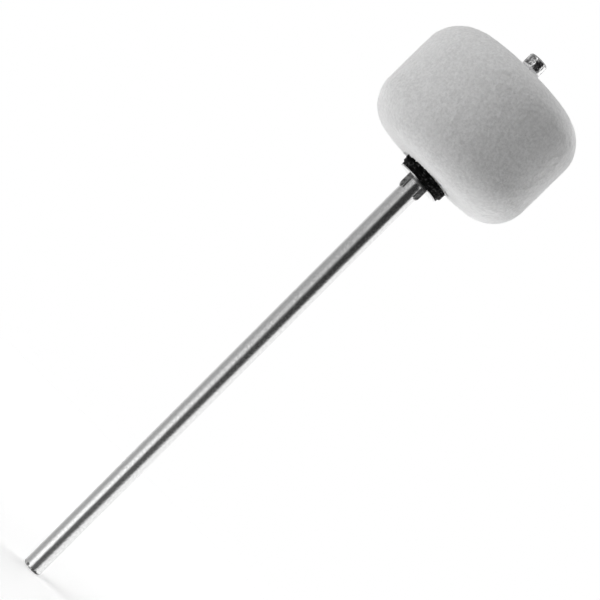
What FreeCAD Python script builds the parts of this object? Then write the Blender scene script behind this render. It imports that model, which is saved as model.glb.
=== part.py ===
import FreeCAD, Part
import math
import os

Vector = FreeCAD.Vector
AXIS = Vector(0, 0, 1)
ACROSS = Vector(0, 1, 0)
ORIGIN = Vector(0, 0, 0)

# Shaft, with its lower end at the origin
shaft_diameter = 8.0
clamp_length = 195.4
lower_chamfer = 0.7
tip_length = 5.1
tip_chamfer = 0.5

# Two ears swaged out of the shaft's sides, which carry the head on a seat a little out of square (degrees)
ear_length = 5.6
ear_stand = 0.7
ear_thickness = 5.0
ear_corner_radius = 2.0
ear_edge_radius = 0.3
seat_skew = 4.0

# What the dies leave of the round between the ears: a core, with a ridge in front and behind
core_diameter = 7.6
ridge_width = 4.8
flat_runout = 0.6

# Washers under the head, from the ears upwards, of which two lie off centre, towards +X
washer_clearance = 0.1
seat_washer_diameter = 18.4
seat_washer_thickness = 0.5
seat_washer_shift = 0.25
cushion_washer_diameter = 20.0
cushion_washer_thickness = 2.7
cushion_washer_shift = 0.27
fibre_washer_diameter = 19.8
fibre_washer_thickness = 1.5
steel_edge_radius = 0.15
rubber_lower_radius = 1.0
rubber_upper_radius = 0.3
fibre_edge_radius = 0.25

# Felt head
head_diameter = 70.0
head_height = 51.2
shoulder_radius = 14.0
bottom_crown_radius = 220.0
top_crown_radius = 280.0
felt_bore_clearance = 0.05
felt_dent_clearance = 0.1
land_margin = 0.6

# Washer and toothed push-on ring on top of the head
top_washer_diameter = 19.0
top_washer_thickness = 1.0
ring_diameter = 15.0
ring_sheet = 0.5
ring_tooth_count = 6
ring_tooth_length = 2.1
ring_tooth_rise = 1.25
ring_slot_width = 1.0
ring_grip_clearance = 0.03

# Places that follow from the sizes above
shaft_radius = shaft_diameter / 2
head_radius = head_diameter / 2
ear_seat = clamp_length + ear_length
ear_reach = shaft_radius + ear_stand
ear_start = ridge_width / 2
cushion_bottom = ear_seat + seat_washer_thickness
fibre_bottom = cushion_bottom + cushion_washer_thickness
head_bottom = fibre_bottom + fibre_washer_thickness
head_top = head_bottom + head_height
dent_depth = fibre_washer_diameter / 2 * math.tan(math.radians(seat_skew)) + felt_dent_clearance
dent_floor = head_bottom + dent_depth
dent_foot = fibre_washer_diameter / 2 + land_margin
dent_rim = dent_foot + dent_depth
top_land = top_washer_diameter / 2 + land_margin
ring_bottom = head_top + top_washer_thickness
shaft_length = ring_bottom + ring_tooth_rise + ring_sheet + tip_length


def closed_face(edges):
    """Flat face inside a closed run of edges."""
    return Part.Face(Part.Wire(edges))


def polyline(points):
    """Straight edges through the points and back to the first."""
    return [Part.makeLine(a, b) for a, b in zip(points, points[1:] + points[:1])]


def turned(points):
    """Solid turned about the Z axis from straight-sided half-section points (radius, height)."""
    section = [Vector(radius, 0, height) for radius, height in points]
    return closed_face(polyline(section)).revolve(ORIGIN, AXIS, 360)


def arc_about(centre, radius, start_angle, end_angle):
    """Arc in the XZ plane, with angles in radians from +X towards +Z."""
    middle_angle = (start_angle + end_angle) / 2
    points = [
        centre + Vector(radius * math.cos(angle), 0, radius * math.sin(angle))
        for angle in (start_angle, middle_angle, end_angle)
    ]
    return Part.Arc(*points).toShape()


def make_ears():
    """Bar across the shaft whose two ends are the ears.

    The lower corners are round, and the upper side is the seat for the washer.
    """
    front = -ear_thickness / 2
    corner = ear_reach - ear_corner_radius
    corner_height = clamp_length + ear_corner_radius
    dip = ear_reach * math.tan(math.radians(seat_skew))
    right_low = Vector(ear_reach, front, corner_height)
    right_high = Vector(ear_reach, front, ear_seat - dip)
    left_low = Vector(-ear_reach, front, corner_height)
    left_high = Vector(-ear_reach, front, ear_seat + dip)
    outline = [
        Part.makeLine(Vector(-corner, front, clamp_length), Vector(corner, front, clamp_length)),
        arc_about(Vector(corner, front, corner_height), ear_corner_radius, -math.pi / 2, 0),
        Part.makeLine(right_low, right_high),
        Part.makeLine(right_high, left_high),
        Part.makeLine(left_high, left_low),
        arc_about(Vector(-corner, front, corner_height), ear_corner_radius, math.pi, 3 * math.pi / 2),
    ]
    bar = closed_face(outline).extrude(Vector(0, ear_thickness, 0))
    outer_edges = [
        edge for edge in bar.Edges
        if abs(edge.CenterOfMass.x) > corner and abs(edge.CenterOfMass.y) > ear_thickness / 4
    ]
    return bar.makeFillet(ear_edge_radius, outer_edges)


def die_flat(side, face):
    """Room that one die takes beside one ear, running out into the round at its lower end.

    side is +1 or -1 along X, and face is +1 or -1 along Y.
    """
    floor = face * ear_thickness / 2
    clear = face * shaft_diameter
    start = side * ear_start
    outline = [
        Vector(start, face * shaft_radius, clamp_length),
        Vector(start, floor, clamp_length + flat_runout),
        Vector(start, floor, ear_seat),
        Vector(start, clear, ear_seat),
        Vector(start, clear, clamp_length),
    ]
    return closed_face(polyline(outline)).extrude(Vector(side * shaft_diameter, 0, 0))


def make_swage():
    """Length of the shaft between the dies: a core a little under size, with the ears on its sides."""
    core = Part.makeCylinder(core_diameter / 2, ear_length, Vector(0, 0, clamp_length))
    for side in (1, -1):
        for face in (1, -1):
            core = core.cut(die_flat(side, face))
    return core.fuse(make_ears())


def make_shaft():
    """Round rod with chamfered ends, swaged where the head is carried."""
    clamp_stretch = turned([
        (0, 0),
        (shaft_radius - lower_chamfer, 0),
        (shaft_radius, lower_chamfer),
        (shaft_radius, clamp_length),
        (0, clamp_length),
    ])
    head_stretch = turned([
        (0, ear_seat),
        (shaft_radius, ear_seat),
        (shaft_radius, shaft_length - tip_chamfer),
        (shaft_radius - tip_chamfer, shaft_length),
        (0, shaft_length),
    ])
    return clamp_stretch.fuse([make_swage(), head_stretch]).removeSplitter()


def make_washer(bottom, diameter, thickness, lower_radius, upper_radius, play=0.0):
    """Flat washer round the shaft, with its outer corners rounded and some play in its bore."""
    outer = diameter / 2
    bore = shaft_radius + washer_clearance + play
    top = bottom + thickness
    washer = turned([(bore, bottom), (outer, bottom), (outer, top), (bore, top)])
    for height, radius in ((bottom, lower_radius), (top, upper_radius)):
        rim = [
            edge for edge in washer.Edges
            if edge.Closed and edge.BoundBox.XLength > bore + outer
            and abs(edge.CenterOfMass.z - height) < thickness / 4
        ]
        washer = washer.makeFillet(radius, rim)
    return washer


def make_skewed_washer(bottom, diameter, thickness, lower_radius, upper_radius, shift=0.0):
    """Washer that lies askew on the ears' seat and off centre by its shift, with play enough for both."""
    lean = (bottom + thickness - ear_seat) * math.sin(math.radians(seat_skew))
    washer = make_washer(bottom, diameter, thickness, lower_radius, upper_radius, shift + lean)
    washer.translate(Vector(shift, 0, 0))
    washer.rotate(Vector(0, 0, ear_seat), ACROSS, seat_skew)
    return washer


def head_end(face_height, up, land, crown_radius):
    """Edges of one end of the felt, from the rim of its flat land out to the straight side.

    The crown starts at that rim and runs smoothly into the shoulder.
    up is +1 for the top end and -1 for the bottom end.
    """
    crown_centre = Vector(0, 0, face_height - up * math.sqrt(crown_radius ** 2 - land ** 2))
    shoulder_offset = head_radius - shoulder_radius
    shoulder_rise = math.sqrt((crown_radius - shoulder_radius) ** 2 - shoulder_offset ** 2)
    shoulder_centre = crown_centre + Vector(shoulder_offset, 0, up * shoulder_rise)
    land_angle = math.acos(land / crown_radius)
    join_angle = math.acos(shoulder_offset / (crown_radius - shoulder_radius))
    crown = arc_about(crown_centre, crown_radius, up * land_angle, up * join_angle)
    shoulder = arc_about(shoulder_centre, shoulder_radius, up * join_angle, 0)
    return [crown, shoulder], shoulder_centre.z


def make_felt_head():
    """Felt block turned about the shaft, with a dent at the bottom that gives the skewed washers room."""
    bore = shaft_radius + felt_bore_clearance
    bottom_edges, side_bottom = head_end(head_bottom, -1, dent_rim, bottom_crown_radius)
    top_edges, side_top = head_end(head_top, 1, top_land, top_crown_radius)
    side = Part.makeLine(Vector(head_radius, 0, side_bottom), Vector(head_radius, 0, side_top))
    inside = [
        Vector(top_land, 0, head_top),
        Vector(bore, 0, head_top),
        Vector(bore, 0, dent_floor),
        Vector(dent_foot, 0, dent_floor),
        Vector(dent_rim, 0, head_bottom),
    ]
    inner_edges = [Part.makeLine(a, b) for a, b in zip(inside, inside[1:])]
    section = bottom_edges + [side] + top_edges[::-1] + inner_edges
    return closed_face(section).revolve(ORIGIN, AXIS, 360)


def ring_slot(angle):
    """Round-ended gap between two teeth of the push-on ring, at an angle in degrees about the shaft."""
    depth = ring_tooth_rise + ring_sheet
    inner = shaft_radius
    outer = shaft_radius + ring_grip_clearance + ring_tooth_length
    start = Vector(inner, -ring_slot_width / 2, ring_bottom)
    gap = Part.makeBox(outer - inner, ring_slot_width, depth, start)
    end = Part.makeCylinder(ring_slot_width / 2, depth, Vector(outer, 0, ring_bottom))
    slot = gap.fuse(end)
    slot.rotate(ORIGIN, AXIS, angle)
    return slot


def make_lock_ring():
    """Dished sheet ring: a flat rim on the washer and teeth that rise to grip the shaft."""
    grip = shaft_radius + ring_grip_clearance
    bend = grip + ring_tooth_length
    rim = ring_diameter / 2
    ring = turned([
        (grip, ring_bottom + ring_tooth_rise),
        (bend, ring_bottom),
        (rim, ring_bottom),
        (rim, ring_bottom + ring_sheet),
        (bend, ring_bottom + ring_sheet),
        (grip, ring_bottom + ring_tooth_rise + ring_sheet),
    ])
    step = 360 / ring_tooth_count
    for index in range(ring_tooth_count):
        ring = ring.cut(ring_slot(index * step + step / 2))
    return ring


parts = {
    "shaft": make_shaft(),
    "seat_washer": make_skewed_washer(
        ear_seat, seat_washer_diameter, seat_washer_thickness,
        steel_edge_radius, steel_edge_radius, seat_washer_shift),
    "cushion_washer": make_skewed_washer(
        cushion_bottom, cushion_washer_diameter, cushion_washer_thickness,
        rubber_lower_radius, rubber_upper_radius, cushion_washer_shift),
    "fibre_washer": make_skewed_washer(
        fibre_bottom, fibre_washer_diameter, fibre_washer_thickness, fibre_edge_radius, fibre_edge_radius),
    "felt_head": make_felt_head(),
    "top_washer": make_washer(
        head_top, top_washer_diameter, top_washer_thickness, steel_edge_radius, steel_edge_radius),
    "lock_ring": make_lock_ring(),
}

os.makedirs("parts", exist_ok=True)
for name, shape in parts.items():
    shape.exportStep("parts/" + name + ".step")
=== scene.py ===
import math

import bpy
from mathutils import Matrix, Vector, noise


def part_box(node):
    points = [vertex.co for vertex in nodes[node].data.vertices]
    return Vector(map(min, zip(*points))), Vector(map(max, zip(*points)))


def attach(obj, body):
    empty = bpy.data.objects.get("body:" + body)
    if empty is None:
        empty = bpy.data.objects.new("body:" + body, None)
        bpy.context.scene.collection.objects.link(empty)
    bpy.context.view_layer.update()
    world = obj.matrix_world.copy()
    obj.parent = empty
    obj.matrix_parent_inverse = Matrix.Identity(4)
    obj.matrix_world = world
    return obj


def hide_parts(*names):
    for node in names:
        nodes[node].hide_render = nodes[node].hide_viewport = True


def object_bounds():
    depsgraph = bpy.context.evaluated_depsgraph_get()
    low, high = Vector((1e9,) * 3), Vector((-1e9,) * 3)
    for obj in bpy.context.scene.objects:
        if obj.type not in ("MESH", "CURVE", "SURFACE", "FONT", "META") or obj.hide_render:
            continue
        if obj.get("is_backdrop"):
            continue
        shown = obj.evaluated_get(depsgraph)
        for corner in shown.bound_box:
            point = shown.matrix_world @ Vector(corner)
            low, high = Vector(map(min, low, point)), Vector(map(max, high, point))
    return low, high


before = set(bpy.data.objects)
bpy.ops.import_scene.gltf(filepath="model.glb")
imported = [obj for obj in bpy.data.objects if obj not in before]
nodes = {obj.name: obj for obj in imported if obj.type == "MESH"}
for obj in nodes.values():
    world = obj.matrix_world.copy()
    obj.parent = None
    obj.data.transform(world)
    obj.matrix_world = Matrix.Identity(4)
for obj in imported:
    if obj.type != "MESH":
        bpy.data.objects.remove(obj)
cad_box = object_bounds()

# Lengths are in metres, angles in radians and colours are grey levels, where nothing else is said.
# A pattern is the size of its features, then the detail, roughness and distortion of its noise.
# A bump is its depth, then its strength.

# Camera, square to the shaft, with the shaft running up to the right across the picture
CAMERA_DISTANCE = 0.737
CAMERA_HEIGHT = 0.1399
CAMERA_LENS_MM = 120.0
CAMERA_ROLL = math.radians(45)

# Felt section, as turned
SHOULDER_RADIUS = 0.014
BOTTOM_CROWN_RADIUS = 0.22
TOP_CROWN_RADIUS = 0.28
LAND_MARGIN = 0.0006
BORE_CLEARANCE = 0.00005
DENT_MARGIN = 0.0003
DENT_CLEARANCE = 0.0001
POINT_STEP = 0.00045
TURN_STEPS = 384

# How the pressed felt departs from the turned form. SIDE_ROUND is the share of width lost at its ends.
SIDE_LEAN = math.radians(1.1)
BOTTOM_TILT = math.radians(0.95)
TOP_TILT = math.radians(0.15)
SIDE_ROUND = 0.012
HEAD_OFFSET = 0.00025
RIM_FADE = 0.006
LUMP_SIZE, LUMP_HEIGHT = 0.019, 0.00015
PIT_SIZE, PIT_HEIGHT = 0.0048, 0.00008
NAP_SIZE, NAP_HEIGHT = 0.0013, 0.00005

# Fibres that hang down round the rim of the dent
FRAY_SIZE, FRAY_DEPTH, FRAY_WIDTH = 0.0007, 0.001, 0.001

# Black washers, which lie on the ears' seat, askew and a little off centre, with worn rims
SEAT_HEIGHT = 0.201
SEAT_SKEW = math.radians(4.0)
RUBBER_SHIFT = 0.00025
RUBBER_OUTLINE = (
    (0.0046, 0.0005), (0.0091, 0.0005), (0.0093, 0.0007), (0.0093, 0.0015), (0.0098, 0.0018),
    (0.0100, 0.0020), (0.0100, 0.0030), (0.0098, 0.0032), (0.0046, 0.0032),
)
FIBRE_SHIFT = 0.00008
FIBRE_OUTLINE = (
    (0.0045, 0.0032), (0.0099, 0.0032), (0.0101, 0.0034),
    (0.0101, 0.0045), (0.0099, 0.0047), (0.0045, 0.0047),
)
RIM_STEP = 0.0002
RIM_TURN_STEPS = 300
RIM_DEPTH = 0.003
WEAR_SIZE, WEAR_HEIGHT = 0.0009, 0.0003

# Felt's finish
FELT_SURFACE = {"Roughness": 0.95, "Specular IOR Level": 0.15, "Sheen Weight": 0.7, "Sheen Roughness": 0.5}
FELT_CLOUD = (0.009, 2)
FELT_MOTTLE = (0.0011, 3, 0.65)
FELT_FIBRE = (0.00045, 3, 0.6, 1.2)
FELT_FIBRE_STRETCH = (1, 1, 0.7)
FELT_PILE = (0.0032, 2)
FELT_RANGE = (0.3, 0.7)
FELT_FIBRE_RANGE = (0.35, 0.65)
FELT_COLOURS = (0.65, 0.85)
FELT_CLOUD_COLOUR, FELT_CLOUD_SHARE = 0.8, 0.3
FELT_FIBRE_COLOUR, FELT_FIBRE_SHARE = 0.68, 0.4
FELT_PILE_BUMP = (0.0012, 0.5)
FELT_MOTTLE_BUMP = (0.0003, 0.35)
FELT_FIBRE_BUMP = (0.00012, 0.4)

# Shaft's plating, with lines drawn out along it
LINES, LINES_STRETCH, LINES_BUMP = (0.00022, 3, 0.6), (1, 1, 0.012), (0.000004, 0.6)
WAVES, WAVES_STRETCH, WAVES_BUMP = (0.004, 2), (1, 1, 0.25), (0.00006, 0.25)
GRAIN, GRAIN_BUMP = (0.0007, 2), (0.00005, 1.0)
PLATE_DARK_COLOURS = (0.58, 0.98)
PLATE_LIGHT_COLOURS = (0.66, 1.0)
PLATE_ROUGHNESS = (0.13, 0.21)

# Length that the dies pressed, below the lowest edge of the washer on the ears, and how its ends fade
SWAGE_LENGTH = 0.005
SWAGE_FADE = 0.0003
SEAT_FADE = 0.0002

# Dull ears: heights above the swage's lower end, with the radius beyond which they are dull at each
EAR_HEIGHTS = (0.0003, 0.0025)
EAR_RADII = (0.0041, 0.0038)
EAR_FADE = 0.0002
EAR_GRIME = (0.0013, 3, 0.6)
EAR_GRIME_RANGE = (0.4, 0.6)
EAR_COLOURS = (0.12, 0.5)
EAR_ROUGHNESS = 0.42

# Roots of the ears, by radius, and the painted shade on the shaft where it meets the washer, by height from
# its lowest edge
ROOT_RADII = (0.00385, 0.0040)
ROOT_COLOUR, ROOT_ROUGHNESS = 0.7, 0.6
UNDER_WASHER_SHADE_HEIGHTS = (-0.0004, 0.0006)
UNDER_WASHER_SHADE_COLOUR, UNDER_WASHER_SHADE_ROUGHNESS = 0.3, 0.5

# Worn ends: the tip and where it begins, the cut lower end and how far up it is worn
TIP_LENGTH = 0.0043
TIP_FADE = (-0.0004, 0.0002)
CUT_HEIGHTS = (0.0011, 0.0005)
CUT_SHARE = 0.6
SCUFFS, SCUFFS_STRETCH, SCUFFS_SHIFT = (0.0021, 2, 0.5), (1, 1, 0.8), (0.0, 0.07, 0.0)
SCUFFS_RANGE = (0.4, 0.6)
SCUFFS_COLOURS = (0.18, 0.95)
SCUFFS_DEPTH = 0.0006

# Scraped ring below the tip, and the dark edge of the tip's end, by depth below it
SCRAPE_FADE_LOW, SCRAPE_FADE_HIGH = 0.0003, 0.0006
SCRAPE_COLOUR, SCRAPE_ROUGHNESS = 0.95, 0.8
EDGE_DEPTHS = (0.0006, 0.0003)
EDGE_COLOUR = 0.25

# Nicks in the edge of the shaft's lower end: centre and radius, then the share of it that is fully dark
NICKS = (
    ((-0.0037, -0.0014, 0.0008), 0.0006),
    ((-0.0021, -0.0034, 0.0009), 0.0008),
    ((0.0006, -0.0039, 0.0005), 0.0007),
    ((0.0019, -0.0035, 0.0006), 0.0007),
)
NICK_CORE = 0.6
NICK_COLOUR = 0.18

# Steel of the washers and the ring: name, colour, roughness and how far the painted shade shows
STEELS = {
    "seat_washer": ("seat_steel", (0.82, 0.82, 0.82, 1.0), 0.14, 1.0),
    "top_washer": ("top_steel", (0.6, 0.6, 0.6, 1.0), 0.28, 0.0),
    "lock_ring": ("ring_steel", (0.74, 0.74, 0.75, 1.0), 0.6, 0.0),
}
TURNING_SCALE, TURNING_DETAIL = 9000.0, 2.0
TURNING_BUMP = (0.00001, 0.5)
POLISH_LOW, POLISH_HIGH = -0.08, 0.1
STEEL_GRIME = (0.0016, 4, 0.6)
STEEL_GRIME_RANGE = (0.55, 0.75)
STEEL_GRIME_SHADE = 0.55

# Painted shade on the seat washer's underside beside the shaft, dark and rough: where its left and right
# edges begin and end along X
PAINTED_SHADE_LEFT_EDGE = (-0.0035, 0.0)
PAINTED_SHADE_RIGHT_EDGE = (0.0043, 0.0047)
PAINTED_SHADE_COLOUR, PAINTED_SHADE_ROUGHNESS = 0.03, 0.8

# Black rubber and fibre: shine, grain, and the greyer spots where they are rubbed
BLACK_SURFACE = {"Specular IOR Level": 0.06}
BLACK_COLOUR = 0.001
BLACK_GRAIN = (0.0003, 4, 0.65)
BLACK_GRAIN_BUMP = (0.0002, 0.8)
BLACK_RUBBED = (0.0012, 3, 0.6)
BLACK_RUBBED_RANGE = (0.53, 0.7)
BLACK_ROUGHNESS_SPREAD = 0.12
RUBBER_RUBBED_COLOUR, RUBBER_ROUGHNESS = 0.085, 0.55
FIBRE_RUBBED_COLOUR, FIBRE_ROUGHNESS = 0.11, 0.75

# Floor, which fades into the white surroundings between two distances from the shaft
FLOOR_SIZE = 3.0
FLOOR_COLOUR = 0.86
FLOOR_GLOW = 0.27
FLOOR_LIFT = 0.11
FLOOR_FADE = (0.2, 0.6)

# Lamps: place, power in watts and width. Each one faces the head.
LAMPS = {
    "key_lamp": ((-0.565, -0.395, 0.81), 4.05, 0.6),
    "left_low_lamp": ((-0.888, 0.078, 0.106), 1.2, 0.6),
    "right_low_lamp": ((0.772, 0.446, 0.106), 5.0, 0.6),
    "back_high_lamp": ((0.291, 0.625, 0.81), 3.1, 0.6),
    "back_left_lamp": ((-0.511, 0.73, 0.106), 2.45, 0.6),
    "top_lamp": ((0.0, 0.0, 1.15), 2.4, 0.6),
    "under_lamp": ((0.0, 0.09, 0.06), 0.07, 0.2),
}

# Studio that polished metal reflects, as strengths of light. Turns are angles from the front, positive to
# the right, and levels are sines of the angle above the horizon. A pair of turns or levels marks where a
# fade begins and ends, and a pair of lights holds at the two studio levels.
LEVEL_LOWEST, LEVEL_HIGHEST = -0.25, 0.12
STUDIO_LEVELS = (-0.17, 0.06)
PANEL_LIGHT = (1.4, 0.31)
PANEL_TOP_LEVELS, PANEL_TOP_LIGHT = (0.11, 0.16), 1.2
PANEL_LEFT_TURNS = (-1.43, -0.63)
PANEL_RIGHT_TURN = -0.52
PANEL_EDGE_LEVELS, PANEL_EDGE_TURNS = (-0.17, -0.03), (-0.1, 0.12)
PANEL_CORNER_LEVELS, PANEL_CORNER_TURNS = (0.0, 0.07), (0.0, 0.14)
LEFT_LIGHT = (0.45, 0.42)
BACK_LEFT_TURNS, BACK_LEFT_LIGHT = (-2.1, -2.6), 1.0
FRONT_LIGHT = (0.13, 0.026)
RIGHT_TURNS, RIGHT_LEAN, RIGHT_LIGHT = (0.99, 1.38), 2.1, 1.07
CEILING_LEVELS, CEILING_LIGHT = (0.5, 0.9), 0.9

# Dark strips in that studio, each between two faded edges, which give the shaft's back and sides an outline
REAR_STRIP_EDGES, REAR_STRIP_LIGHT = ((-2.66, -2.74), (-3.1, -3.02)), 0.06
LOW_STRIP_EDGES, LOW_STRIP_LIGHT = ((2.0, 2.2), (2.9, 2.7)), 0.1
LOW_STRIP_LEVELS = (-0.2, -0.28)

head_low, head_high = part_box("felt_head")
shaft_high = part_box("shaft")[1]
head_radius = head_high.x
head_middle = Vector((0, 0, (head_low.z + head_high.z) / 2))
seat_low, seat_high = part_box("seat_washer")
fibre_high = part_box("fibre_washer")[1]
dent_floor = fibre_high.z + DENT_CLEARANCE
dent_foot = fibre_high.x + DENT_MARGIN
dent_rim = dent_foot + dent_floor - head_low.z
top_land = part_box("top_washer")[1].x + LAND_MARGIN


class Graph:
    """Adds and links the nodes of one node tree."""

    def __init__(self, tree):
        self.tree = tree
        tree.nodes.clear()

    def feed(self, socket, value):
        """Links an output to a socket, or sets the socket's own value."""
        if isinstance(value, bpy.types.NodeSocket):
            self.tree.links.new(value, socket)
        else:
            socket.default_value = value

    def add(self, kind, inputs, **settings):
        """New node with settings and inputs, where an input is named or numbered."""
        node = self.tree.nodes.new(kind)
        for name, value in settings.items():
            setattr(node, name, value)
        for name, value in inputs.items():
            self.feed(node.inputs[name], value)
        return node

    def math(self, operation, *values):
        """Result of a Math node."""
        return self.add("ShaderNodeMath", dict(enumerate(values)), operation=operation).outputs[0]

    def both(self, first, second):
        """Mask that is full only where both of two masks are."""
        return self.math("MULTIPLY", first, second)

    def ramp(self, value, start, end, low=0.0, high=1.0):
        """Value taken smoothly from low, at start, to high, at end."""
        inputs = {"Value": value, "From Min": start, "From Max": end, "To Min": low, "To Max": high}
        return self.add("ShaderNodeMapRange", inputs, interpolation_type="SMOOTHSTEP").outputs[0]

    # The Mix node's sockets are numbered below, because their names repeat for each type of data.
    def mix(self, factor, first, second):
        """Number between first and second."""
        return self.add("ShaderNodeMix", {0: factor, 2: first, 3: second}, data_type="FLOAT").outputs[0]

    def tint(self, factor, first, second):
        """Colour between first and second."""
        return self.add("ShaderNodeMix", {0: factor, 6: first, 7: second}, data_type="RGBA").outputs[2]

    def greys(self, factor, levels):
        """Colour between the two greys of a pair of levels."""
        return self.tint(factor, grey(levels[0]), grey(levels[1]))

    def noise(self, place, size, detail=3.0, roughness=0.55, distortion=0.0):
        """Noise from 0 to 1 with features of about the given size."""
        inputs = {
            "Vector": place, "Scale": 1 / size, "Detail": detail,
            "Roughness": roughness, "Distortion": distortion,
        }
        return self.add("ShaderNodeTexNoise", inputs).outputs[0]

    def place(self):
        """Place on the object, in the object's own metres."""
        return self.tree.nodes.new("ShaderNodeTexCoord").outputs["Object"]

    def moved(self, place, shift):
        """Place shifted by a vector, so that another part of a pattern is used."""
        return self.add("ShaderNodeMapping", {"Vector": place, "Location": shift}).outputs[0]

    def stretched(self, place, scale):
        """Place with each axis multiplied, so that a pattern is drawn out along an axis."""
        return self.add("ShaderNodeMapping", {"Vector": place, "Scale": scale}).outputs[0]

    def parts(self, place):
        """The three numbers of a place."""
        return self.add("ShaderNodeSeparateXYZ", {0: place}).outputs

    def radius(self, place):
        """Distance of a place from the shaft's axis."""
        across = self.add("ShaderNodeVectorMath", {0: place, 1: (1, 1, 0)}, operation="MULTIPLY").outputs[0]
        return self.add("ShaderNodeVectorMath", {0: across}, operation="LENGTH").outputs["Value"]

    def spots(self, place, marks, core):
        """Mask of small round spots, each given by its centre and radius, that fade beyond their core."""
        mask = 0.0
        for centre, radius in marks:
            away = self.add("ShaderNodeVectorMath", {0: place, 1: centre}, operation="DISTANCE")
            mask = self.math("MAXIMUM", mask, self.ramp(away.outputs["Value"], radius, core * radius))
        return mask

    def bump(self, height, depth, strength=1.0, normal=None):
        """Normal bent by a height from 0 to 1 that stands for a depth."""
        inputs = {"Height": height, "Distance": depth, "Strength": strength}
        if normal is not None:
            inputs["Normal"] = normal
        return self.add("ShaderNodeBump", inputs).outputs[0]


def grey(level):
    """Opaque grey of one level."""
    return (level, level, level, 1.0)


def start_material(name, even_inputs):
    """New material with a principled surface whose even values are set on its own sockets."""
    material = bpy.data.materials.new(name)
    material.use_nodes = True
    graph = Graph(material.node_tree)
    surface = graph.add("ShaderNodeBsdfPrincipled", even_inputs)
    output = graph.tree.nodes.new("ShaderNodeOutputMaterial")
    graph.tree.links.new(surface.outputs[0], output.inputs[0])
    return material, graph, surface


def felt_material():
    """Pressed wool: cloudy and finely mottled, with a soft nap."""
    material, graph, surface = start_material("wool_felt", FELT_SURFACE)
    place = graph.place()
    cloud = graph.noise(place, *FELT_CLOUD)
    mottle = graph.noise(place, *FELT_MOTTLE)
    fibre = graph.noise(graph.stretched(place, FELT_FIBRE_STRETCH), *FELT_FIBRE)
    pile = graph.noise(place, *FELT_PILE)
    clouded = graph.ramp(cloud, *FELT_RANGE, 0.0, FELT_CLOUD_SHARE)
    fibrous = graph.ramp(fibre, *FELT_FIBRE_RANGE, 0.0, FELT_FIBRE_SHARE)
    colour = graph.greys(graph.ramp(mottle, *FELT_RANGE), FELT_COLOURS)
    colour = graph.tint(clouded, colour, grey(FELT_CLOUD_COLOUR))
    graph.feed(surface.inputs["Base Color"], graph.tint(fibrous, colour, grey(FELT_FIBRE_COLOUR)))
    nap = graph.bump(mottle, *FELT_MOTTLE_BUMP, graph.bump(pile, *FELT_PILE_BUMP))
    graph.feed(surface.inputs["Normal"], graph.bump(fibre, *FELT_FIBRE_BUMP, nap))
    return material


def swage_masks(graph, place, height):
    """Masks of the dull ears, their roots and the painted shade where the shaft meets the washer on them."""
    swage_low = seat_low.z - SWAGE_LENGTH
    radius = graph.radius(place)
    pressed = graph.both(
        graph.ramp(height, swage_low, swage_low + SWAGE_FADE),
        graph.ramp(height, seat_high.z + SEAT_FADE, seat_high.z))
    ear_low, ear_high = [swage_low + rise for rise in EAR_HEIGHTS]
    beyond = graph.math("SUBTRACT", radius, graph.ramp(height, ear_low, ear_high, *EAR_RADII))
    ears = graph.both(pressed, graph.ramp(beyond, 0.0, EAR_FADE))
    roots = graph.both(pressed, graph.ramp(radius, *ROOT_RADII))
    # Painted shade: the shaft is darkened where it goes under the washer on the ears.
    shade_low, shade_high = [seat_low.z + rise for rise in UNDER_WASHER_SHADE_HEIGHTS]
    under_washer_shade = graph.both(pressed, graph.ramp(height, shade_low, shade_high))
    return ears, roots, under_washer_shade


def end_masks(graph, height):
    """Masks of both worn ends, the scraped ring below the tip and the edge of the tip's end."""
    tip_low = shaft_high.z - TIP_LENGTH
    fade_low, fade_high = [tip_low + rise for rise in TIP_FADE]
    tip = graph.ramp(height, fade_low, fade_high)
    cut = graph.ramp(height, *CUT_HEIGHTS, 0.0, CUT_SHARE)
    scraped = graph.both(
        graph.ramp(height, head_high.z, head_high.z + SCRAPE_FADE_LOW),
        graph.ramp(height, tip_low, tip_low - SCRAPE_FADE_HIGH))
    edge_low, edge_high = [shaft_high.z - depth for depth in EDGE_DEPTHS]
    return graph.math("MAXIMUM", tip, cut), scraped, graph.ramp(height, edge_low, edge_high)


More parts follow.
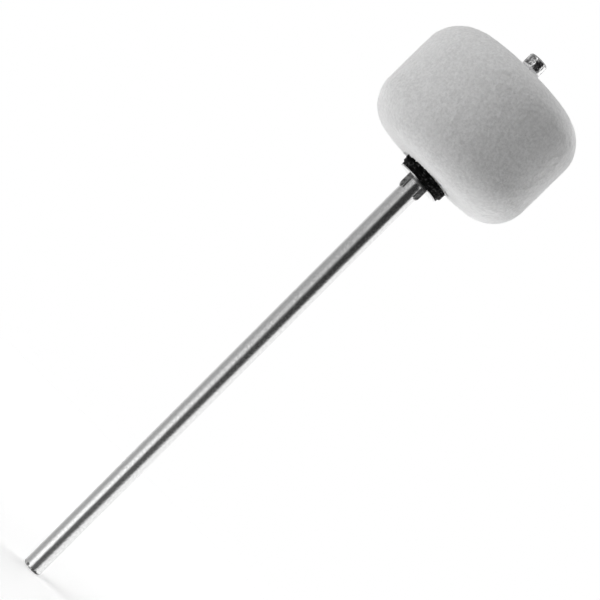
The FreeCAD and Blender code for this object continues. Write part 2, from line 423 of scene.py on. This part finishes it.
def shaft_material():
    """Plated drawn rod: fine lines along it, dull where the dies pressed it and worn at its ends."""
    material, graph, surface = start_material("plated_shaft", {"Metallic": 1.0})
    place = graph.place()
    height = graph.parts(place)[2]
    lines = graph.noise(graph.stretched(place, LINES_STRETCH), *LINES)
    waves = graph.noise(graph.stretched(place, WAVES_STRETCH), *WAVES)
    scuffs = graph.noise(graph.stretched(graph.moved(place, SCUFFS_SHIFT), SCUFFS_STRETCH), *SCUFFS)
    grime = graph.noise(place, *EAR_GRIME)
    grain = graph.noise(place, *GRAIN)
    ears, roots, under_washer_shade = swage_masks(graph, place, height)
    ends, scraped, edge = end_masks(graph, height)
    nicked = graph.spots(place, NICKS, NICK_CORE)

    dulled = graph.greys(graph.ramp(grime, *EAR_GRIME_RANGE), EAR_COLOURS)
    worn = graph.greys(graph.ramp(scuffs, *SCUFFS_RANGE), SCUFFS_COLOURS)
    colour = graph.tint(
        lines, graph.greys(grain, PLATE_DARK_COLOURS), graph.greys(grain, PLATE_LIGHT_COLOURS))
    colour = graph.tint(ears, graph.tint(roots, colour, grey(ROOT_COLOUR)), dulled)
    # Painted shade on the shaft where it meets the washer.
    colour = graph.tint(under_washer_shade, colour, grey(UNDER_WASHER_SHADE_COLOUR))
    colour = graph.tint(scraped, colour, grey(SCRAPE_COLOUR))
    colour = graph.tint(edge, graph.tint(ends, colour, worn), grey(EDGE_COLOUR))
    graph.feed(surface.inputs["Base Color"], graph.tint(nicked, colour, grey(NICK_COLOUR)))

    rough = graph.mix(lines, *PLATE_ROUGHNESS)
    rough = graph.mix(ears, graph.mix(roots, rough, ROOT_ROUGHNESS), EAR_ROUGHNESS)
    rough = graph.mix(under_washer_shade, rough, UNDER_WASHER_SHADE_ROUGHNESS)
    graph.feed(surface.inputs["Roughness"], graph.mix(scraped, rough, SCRAPE_ROUGHNESS))

    ground = graph.bump(grain, *GRAIN_BUMP)
    drawn = graph.bump(lines, *LINES_BUMP, ground)
    waved = graph.bump(waves, *WAVES_BUMP, drawn)
    graph.feed(surface.inputs["Normal"], graph.bump(scuffs, SCUFFS_DEPTH, ends, waved))
    return material


def steel_material(name, colour, roughness, shade_share):
    """Turned steel: fine rings about the shaft, a little grime and, as a share, a dark, rough band of painted
    shade.
    """
    material, graph, surface = start_material(name, {"Metallic": 1.0})
    place = graph.place()
    turning = {"W": graph.radius(place), "Scale": TURNING_SCALE, "Detail": TURNING_DETAIL}
    rings = graph.add("ShaderNodeTexNoise", turning, noise_dimensions="1D").outputs[0]
    grime = graph.noise(place, *STEEL_GRIME)
    grimy_colour = tuple(STEEL_GRIME_SHADE * level for level in colour[:3]) + (1.0,)
    across = graph.parts(place)[0]
    # Painted shade: a dark, rough band across the seat washer beside the shaft.
    painted_shade = graph.both(
        graph.ramp(across, *PAINTED_SHADE_LEFT_EDGE), graph.ramp(across, *PAINTED_SHADE_RIGHT_EDGE, shade_share, 0.0))
    clean = graph.tint(graph.ramp(grime, *STEEL_GRIME_RANGE), colour, grimy_colour)
    polish = graph.mix(rings, roughness + POLISH_LOW, roughness + POLISH_HIGH)
    graph.feed(surface.inputs["Base Color"], graph.tint(painted_shade, clean, grey(PAINTED_SHADE_COLOUR)))
    graph.feed(surface.inputs["Roughness"], graph.mix(painted_shade, polish, PAINTED_SHADE_ROUGHNESS))
    graph.feed(surface.inputs["Normal"], graph.bump(rings, *TURNING_BUMP))
    return material


def black_material(name, rubbed_colour, roughness):
    """Black rubber or fibre: a fine grain with greyer, rubbed spots."""
    material, graph, surface = start_material(name, BLACK_SURFACE)
    place = graph.place()
    grain = graph.noise(place, *BLACK_GRAIN)
    rubbed = graph.ramp(graph.noise(place, *BLACK_RUBBED), *BLACK_RUBBED_RANGE)
    rough = graph.mix(grain, roughness - BLACK_ROUGHNESS_SPREAD, roughness + BLACK_ROUGHNESS_SPREAD)
    graph.feed(surface.inputs["Base Color"], graph.greys(rubbed, (BLACK_COLOUR, rubbed_colour)))
    graph.feed(surface.inputs["Roughness"], rough)
    graph.feed(surface.inputs["Normal"], graph.bump(grain, *BLACK_GRAIN_BUMP))
    return material


def floor_material():
    """White to the camera where the floor is lit, with the object's shadow kept, and pale to all other light.

    Far from the object the camera sees through it to the white surroundings.
    """
    material = bpy.data.materials.new("floor_white")
    material.use_nodes = True
    graph = Graph(material.node_tree)
    ray = graph.tree.nodes.new("ShaderNodeLightPath").outputs
    seen = graph.math("MAXIMUM", ray["Is Glossy Ray"], ray["Is Transmission Ray"])
    seen = graph.math("MAXIMUM", ray["Is Camera Ray"], seen)
    matt = graph.add("ShaderNodeBsdfDiffuse", {"Color": grey(FLOOR_COLOUR)}).outputs[0]
    strength = graph.math("MULTIPLY_ADD", seen, FLOOR_LIFT, FLOOR_GLOW)
    glow = graph.add("ShaderNodeEmission", {"Strength": strength}).outputs[0]
    white = graph.add("ShaderNodeAddShader", {0: matt, 1: glow}).outputs[0]
    far = graph.both(seen, graph.ramp(graph.radius(graph.place()), *FLOOR_FADE))
    clear = graph.tree.nodes.new("ShaderNodeBsdfTransparent").outputs[0]
    faded = graph.add("ShaderNodeMixShader", {0: far, 1: white, 2: clear}).outputs[0]
    graph.add("ShaderNodeOutputMaterial", {0: faded})
    return material


def strip(graph, turn, edges):
    """Mask of an upright strip between two faded edges."""
    return graph.both(graph.ramp(turn, *edges[0]), graph.ramp(turn, *edges[1]))


def studio_light(graph, across, along, up):
    """Strength of the light that polished metal reflects from each direction.

    The front is dark, with a soft white panel low on its left. The left is grey, the right and the back are
    white, and two dark strips at the back break up the white.
    """
    turn = graph.math("ARCTAN2", across, graph.math("MULTIPLY", along, -1.0))
    level = graph.math("MAXIMUM", graph.math("MINIMUM", up, LEVEL_HIGHEST), LEVEL_LOWEST)
    panel = graph.ramp(level, *STUDIO_LEVELS, *PANEL_LIGHT)
    panel = graph.mix(graph.ramp(up, *PANEL_TOP_LEVELS), panel, PANEL_TOP_LIGHT)
    side = graph.ramp(level, *STUDIO_LEVELS, *LEFT_LIGHT)
    left = graph.mix(graph.ramp(turn, *PANEL_LEFT_TURNS), side, panel)
    left = graph.mix(graph.ramp(turn, *BACK_LEFT_TURNS), left, BACK_LEFT_LIGHT)
    dark = graph.ramp(level, *STUDIO_LEVELS, *FRONT_LIGHT)
    leaning = graph.math("SUBTRACT", turn, graph.math("MULTIPLY", level, RIGHT_LEAN))
    right = graph.mix(graph.ramp(leaning, *RIGHT_TURNS), dark, RIGHT_LIGHT)
    panel_edge = graph.ramp(level, *PANEL_EDGE_LEVELS, *PANEL_EDGE_TURNS)
    corner = graph.ramp(level, *PANEL_CORNER_LEVELS, *PANEL_CORNER_TURNS)
    panel_edge = graph.math("SUBTRACT", panel_edge, corner)
    studio = graph.mix(graph.ramp(turn, PANEL_RIGHT_TURN, panel_edge), left, right)
    studio = graph.mix(strip(graph, turn, REAR_STRIP_EDGES), studio, REAR_STRIP_LIGHT)
    low_strip = graph.both(strip(graph, turn, LOW_STRIP_EDGES), graph.ramp(up, *LOW_STRIP_LEVELS))
    studio = graph.mix(low_strip, studio, LOW_STRIP_LIGHT)
    return graph.mix(graph.ramp(up, *CEILING_LEVELS), studio, CEILING_LIGHT)


def make_world():
    """White to the camera and a studio for polished metal to reflect. It sheds no light on matt surfaces."""
    world = bpy.data.worlds.new("studio")
    bpy.context.scene.world = world
    world.use_nodes = True
    graph = Graph(world.node_tree)
    ray = graph.tree.nodes.new("ShaderNodeLightPath").outputs
    direction = graph.tree.nodes.new("ShaderNodeTexCoord").outputs["Generated"]
    studio = studio_light(graph, *graph.parts(direction))
    light = graph.math("MULTIPLY", ray["Is Glossy Ray"], studio)
    seen = graph.math("MAXIMUM", ray["Is Camera Ray"], ray["Is Transmission Ray"])
    light = graph.mix(seen, light, 1.0)
    background = graph.add("ShaderNodeBackground", {"Color": grey(1.0), "Strength": light})
    graph.add("ShaderNodeOutputWorld", {0: background.outputs[0]})


def run(start, end, step=POINT_STEP):
    """Points along a straight run of a section, without its last one."""
    count = max(1, round((end - start).length / step))
    return [start.lerp(end, index / count) for index in range(count)]


def arc(centre, radius, start, end):
    """Points along an arc of the section, without its last one."""
    count = max(1, round(abs(end - start) * radius / POINT_STEP))
    angles = [start + (end - start) * index / count for index in range(count)]
    return [centre + radius * Vector((math.cos(angle), math.sin(angle))) for angle in angles]


def crowned_end(height, up, land, radius):
    """Points of one end of the felt, from the rim of its flat land, over the crown and round the shoulder."""
    crown = Vector((0, height - up * math.sqrt(radius ** 2 - land ** 2)))
    offset = head_radius - SHOULDER_RADIUS
    shoulder = crown + Vector((offset, up * math.sqrt((radius - SHOULDER_RADIUS) ** 2 - offset ** 2)))
    join = up * math.acos(offset / (radius - SHOULDER_RADIUS))
    return (
        arc(crown, radius, up * math.acos(land / radius), join)
        + arc(shoulder, SHOULDER_RADIUS, join, 0)
        + [shoulder + Vector((SHOULDER_RADIUS, 0))]
    )


def head_section():
    """Closed half-section of the felt as (radius, height): bottom end, side, top end, bore and dent."""
    bore = shaft_high.y + BORE_CLEARANCE
    bottom = crowned_end(head_low.z, -1, dent_rim, BOTTOM_CROWN_RADIUS)
    top = crowned_end(head_high.z, 1, top_land, TOP_CROWN_RADIUS)[::-1]
    inside = [
        top[-1],
        Vector((bore, head_high.z)),
        Vector((bore, dent_floor)),
        Vector((dent_foot, dent_floor)),
        bottom[0],
    ]
    section = bottom[:-1] + run(bottom[-1], top[0]) + top[:-1]
    for start, end in zip(inside, inside[1:]):
        section += run(start, end)
    return section


def nap_height(point):
    """How far the felt's surface stands out of the turned form at a point."""
    return (
        LUMP_HEIGHT * noise.noise(point / LUMP_SIZE)
        + PIT_HEIGHT * noise.noise(point / PIT_SIZE)
        + NAP_HEIGHT * noise.noise(point / NAP_SIZE)
    )


def settled(point):
    """Where a point of the turned block sits, once its side leans, a little round, and its ends tilt."""
    rise = point.z - head_middle.z
    share = 2 * rise / (head_high.z - head_low.z)
    tilt = BOTTOM_TILT + (TOP_TILT - BOTTOM_TILT) * (share + 1) / 2
    width = 1 - SIDE_ROUND * share ** 2
    return Vector((
        width * point.x + HEAD_OFFSET + rise * math.tan(SIDE_LEAN),
        width * point.y,
        point.z - point.x * math.tan(tilt),
    ))


def turned_mesh(name, section, steps, settle, material):
    """Object turned from a closed section of (radius, height), whose points are then settled one by one."""
    count = len(section)
    vertices = []
    for turn in range(steps):
        angle = 2 * math.pi * turn / steps
        out = Vector((math.cos(angle), math.sin(angle), 0))
        for index, (radius, height) in enumerate(section):
            slope = (section[(index + 1) % count] - section[index - 1]).normalized()
            normal = slope.y * out - Vector((0, 0, slope.x))
            vertices.append(settle(radius * out + Vector((0, 0, height)), normal, radius))
    faces = []
    for turn in range(steps):
        here, there = turn * count, (turn + 1) % steps * count
        for index in range(count):
            after = (index + 1) % count
            faces.append((here + index, there + index, there + after, here + after))
    mesh = bpy.data.meshes.new(name)
    mesh.from_pydata(vertices, [], faces)
    mesh.polygons.foreach_set("use_smooth", [True] * len(faces))
    mesh.materials.append(material)
    piece = bpy.data.objects.new(name, mesh)
    bpy.context.scene.collection.objects.link(piece)
    return piece


def eased(value, start, end):
    """Share from 0, at start, to 1, at end, eased at both."""
    share = min(1.0, max(0.0, (value - start) / (end - start)))
    return share * share * (3 - 2 * share)


def settled_felt(point, normal, radius):
    """Point of the felt with its nap, moved to where the block has settled, but not under the washers.

    Round the rim of the dent it hangs down a little, where the felt is frayed.
    """
    share = eased(radius, dent_rim, dent_rim + RIM_FADE)
    frayed = eased(radius, dent_foot, dent_rim) * (1 - eased(radius, dent_rim, dent_rim + FRAY_WIDTH))
    point = point + share * nap_height(point) * normal
    point = point.lerp(settled(point), share)
    if point.z < head_middle.z:
        point.z -= frayed * FRAY_DEPTH * max(0.0, noise.noise(point / FRAY_SIZE))
    return point


def make_felt():
    """Felt block, turned from its section, then given the lean, lumps and nap of pressed wool."""
    felt = turned_mesh("felt_block", head_section(), TURN_STEPS, settled_felt, felt_material())
    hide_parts("felt_head")
    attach(felt, "head")


def make_black_washer(name, node, outline, shift, material):
    """Black washer with a worn rim, laid askew on the ears' seat in place of its CAD solid."""
    corners = [Vector(corner) for corner in outline]
    rim = max(radius for radius, height in outline)
    section = []
    for start, end in zip(corners, corners[1:] + corners[:1]):
        section += run(start, end, RIM_STEP)
    seat = Matrix.Translation((0, 0, SEAT_HEIGHT)) @ Matrix.Rotation(SEAT_SKEW, 4, "Y")
    place = seat @ Matrix.Translation((shift, 0, 0))

    def settle(point, normal, radius):
        worn = WEAR_HEIGHT * noise.noise((point + place.translation) / WEAR_SIZE)
        return place @ (point + eased(radius, rim - RIM_DEPTH, rim) * min(0.0, worn) * normal)

    washer = turned_mesh(name, section, RIM_TURN_STEPS, settle, material)
    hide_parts(node)
    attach(washer, "shaft")


def dress(name, material):
    """Gives a CAD node its finish."""
    node = nodes[name]
    node.data.materials.clear()
    node.data.materials.append(material)


def make_floor():
    """Plain pale floor under the shaft's lower end."""
    half = FLOOR_SIZE / 2
    corners = [(-half, -half, 0), (half, -half, 0), (half, half, 0), (-half, half, 0)]
    mesh = bpy.data.meshes.new("floor")
    mesh.from_pydata(corners, [], [(0, 1, 2, 3)])
    mesh.materials.append(floor_material())
    floor = bpy.data.objects.new("floor", mesh)
    bpy.context.scene.collection.objects.link(floor)
    floor.visible_glossy = False
    floor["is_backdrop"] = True


def make_lamps():
    """Soft square lamps round the object, each facing the head and hidden from view and reflections."""
    for name, (place, power, width) in LAMPS.items():
        lamp = bpy.data.lights.new(name, "AREA")
        lamp.energy = power
        lamp.size = width
        holder = bpy.data.objects.new(name, lamp)
        holder.location = place
        holder.rotation_mode = "QUATERNION"
        holder.rotation_quaternion = (head_middle - Vector(place)).to_track_quat("-Z", "Y")
        holder.visible_camera = False
        holder.visible_glossy = False
        bpy.context.scene.collection.objects.link(holder)


def make_camera():
    """Camera that looks along +Y, rolled so that the shaft rises to the right."""
    data = bpy.data.cameras.new("camera")
    data.lens = CAMERA_LENS_MM
    camera = bpy.data.objects.new("camera", data)
    stand = Matrix.Translation((0, -CAMERA_DISTANCE, CAMERA_HEIGHT))
    level = Matrix.Rotation(math.pi / 2, 4, "X")
    camera.matrix_world = stand @ Matrix.Rotation(-CAMERA_ROLL, 4, "Y") @ level
    bpy.context.scene.collection.objects.link(camera)
    bpy.context.scene.camera = camera


make_camera()
make_felt()
dress("shaft", shaft_material())
for node_name, steel in STEELS.items():
    dress(node_name, steel_material(*steel))
make_black_washer(
    "rubber_cushion", "cushion_washer", RUBBER_OUTLINE, RUBBER_SHIFT,
    black_material("rubber", RUBBER_RUBBED_COLOUR, RUBBER_ROUGHNESS))
make_black_washer(
    "fibre_ring", "fibre_washer", FIBRE_OUTLINE, FIBRE_SHIFT,
    black_material("fibre", FIBRE_RUBBED_COLOUR, FIBRE_ROUGHNESS))
make_floor()
make_lamps()
make_world()
bpy.context.scene.view_settings.view_transform = "Standard"

boxes = {"cad": cad_box, "visual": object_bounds()}
{name: [list(corner) for corner in box] for name, box in boxes.items()}
